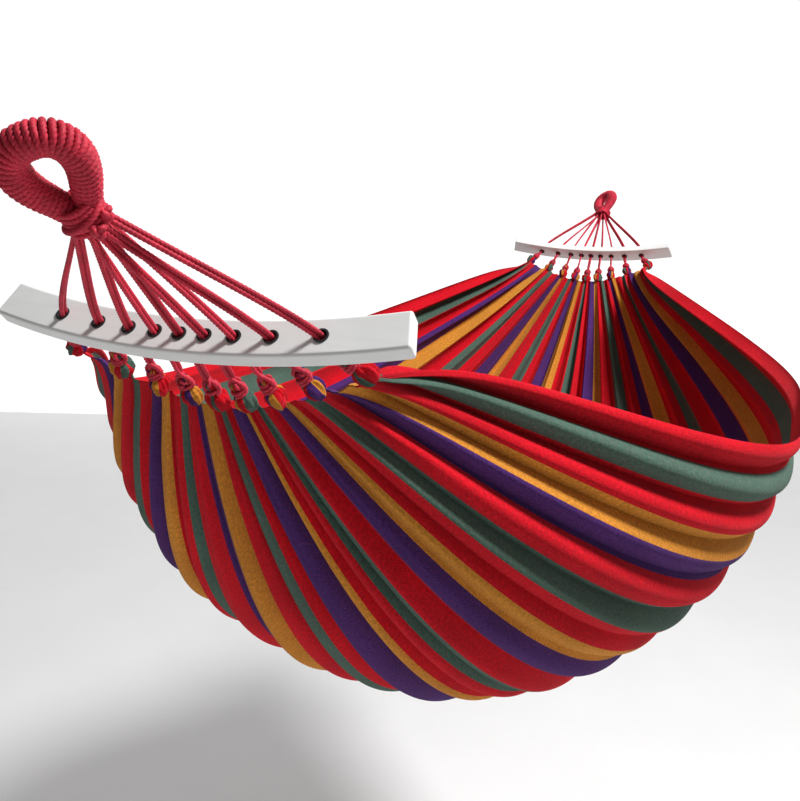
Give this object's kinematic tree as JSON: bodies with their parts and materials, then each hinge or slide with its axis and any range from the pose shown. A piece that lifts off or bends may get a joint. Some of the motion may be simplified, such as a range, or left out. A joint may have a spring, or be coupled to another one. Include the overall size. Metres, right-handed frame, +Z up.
{
  "type": "hammock",
  "caption": "Striped canvas hammock with bowed white spreader bars and red cord clews, hung by a wrapped rope eye at each end.",
  "frame": {"origin": "seat of the near eye, where the hook bears on the inside of the rope loop", "axes": "+X along the hammock from the near eye to the far eye, +Y to the left, +Z up"},
  "size_m": [2.0984, 1.0104, 0.7885],
  "materials": {
    "canvas": "matte",
    "rope": "matte",
    "painted_wood": "satin",
    "black_bush": "matte"
  },
  "bodies": {
    "eyes": {"near_eye_core": "rope", "near_eye_wrap": "rope", "near_neck_whipping": "rope", "far_eye_core": "rope", "far_eye_wrap": "rope", "far_neck_whipping": "rope"},
    "bed": {"bed_cloth": "canvas"},
    "near_end": {"near_spreader_bar": "painted_wood", "near_bar_eyelets": "black_bush", "near_clew_cord_1": "rope", "near_clew_cord_2": "rope", "near_clew_cord_3": "rope", "near_clew_cord_4": "rope", "near_clew_cord_5": "rope", "near_clew_cord_6": "rope", "near_clew_cord_7": "rope", "near_clew_cord_8": "rope", "near_clew_cord_9": "rope", "near_cloth_gathers": "canvas", "near_lashings": "rope", "near_cloth_end": "canvas"},
    "far_end": {"far_spreader_bar": "painted_wood", "far_bar_eyelets": "black_bush", "far_clew_cord_1": "rope", "far_clew_cord_2": "rope", "far_clew_cord_3": "rope", "far_clew_cord_4": "rope", "far_clew_cord_5": "rope", "far_clew_cord_6": "rope", "far_clew_cord_7": "rope", "far_clew_cord_8": "rope", "far_clew_cord_9": "rope", "far_cloth_gathers": "canvas", "far_lashings": "rope", "far_cloth_end": "canvas"}
  },
  "joints": [
    {"name": "bed_swing", "type": "hinge", "parent": "eyes", "child": "bed", "pos_m": [0.04534, 0, -0.04228], "axis": [1, 0, 0], "range_deg": [-35, 35]},
    {"name": "near_bar_tip", "type": "hinge", "parent": "bed", "child": "near_end", "pos_m": [0.04534, 0, -0.04228], "axis": [1, 0, 0], "range_deg": [-12, 12]},
    {"name": "far_bar_tip", "type": "hinge", "parent": "bed", "child": "far_end", "pos_m": [2.00466, 0, -0.04228], "axis": [1, 0, 0], "range_deg": [-12, 12]}
  ]
}
